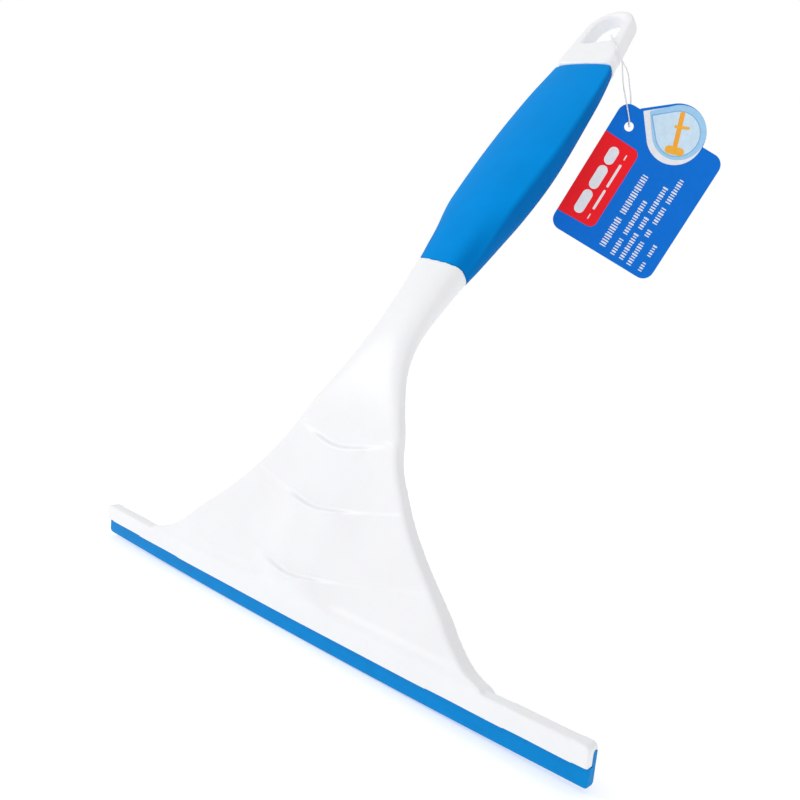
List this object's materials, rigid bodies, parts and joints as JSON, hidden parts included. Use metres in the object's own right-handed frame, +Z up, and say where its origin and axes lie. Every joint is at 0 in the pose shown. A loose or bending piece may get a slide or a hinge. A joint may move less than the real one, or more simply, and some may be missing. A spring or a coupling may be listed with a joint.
{
  "type": "window squeegee",
  "caption": "Window squeegee: wide bowed rubber blade in a fan-shaped plastic head, slim neck, leaning handle with a soft grip sleeve, arched hang loop and a hang tag on a filament.",
  "frame": {"origin": "middle of the grip, inside the handle, where a hand holds the squeegee", "axes": "+X along the blade to the right as seen from the front, +Y towards the back, where the handle leans, +Z up from the wiping edge; the blade stands upright at the bottom"},
  "size_m": [0.248, 0.182, 0.2568],
  "materials": {
    "white_plastic": "satin white polypropylene",
    "blue_rubber": "smooth, slightly matt",
    "blue_grip": "soft satin",
    "printed_card": "coated and printed",
    "clear_filament": "glossy nylon",
    "lock_plastic": "glossy"
  },
  "bodies": {
    "squeegee": {"body": "white_plastic", "wiper_blade": "blue_rubber", "grip_sleeve": "blue_grip", "tag_filament": "clear_filament", "filament_lock": "lock_plastic"},
    "tag": {"tag_card": "printed_card"}
  },
  "joints": [
    {"name": "tag_swing", "type": "hinge", "parent": "squeegee", "child": "tag", "pos_m": [0.0206, 0.0484, 0.0223], "axis": [0.6293, -0.7771, 0], "range_deg": [-35, 35]}
  ]
}
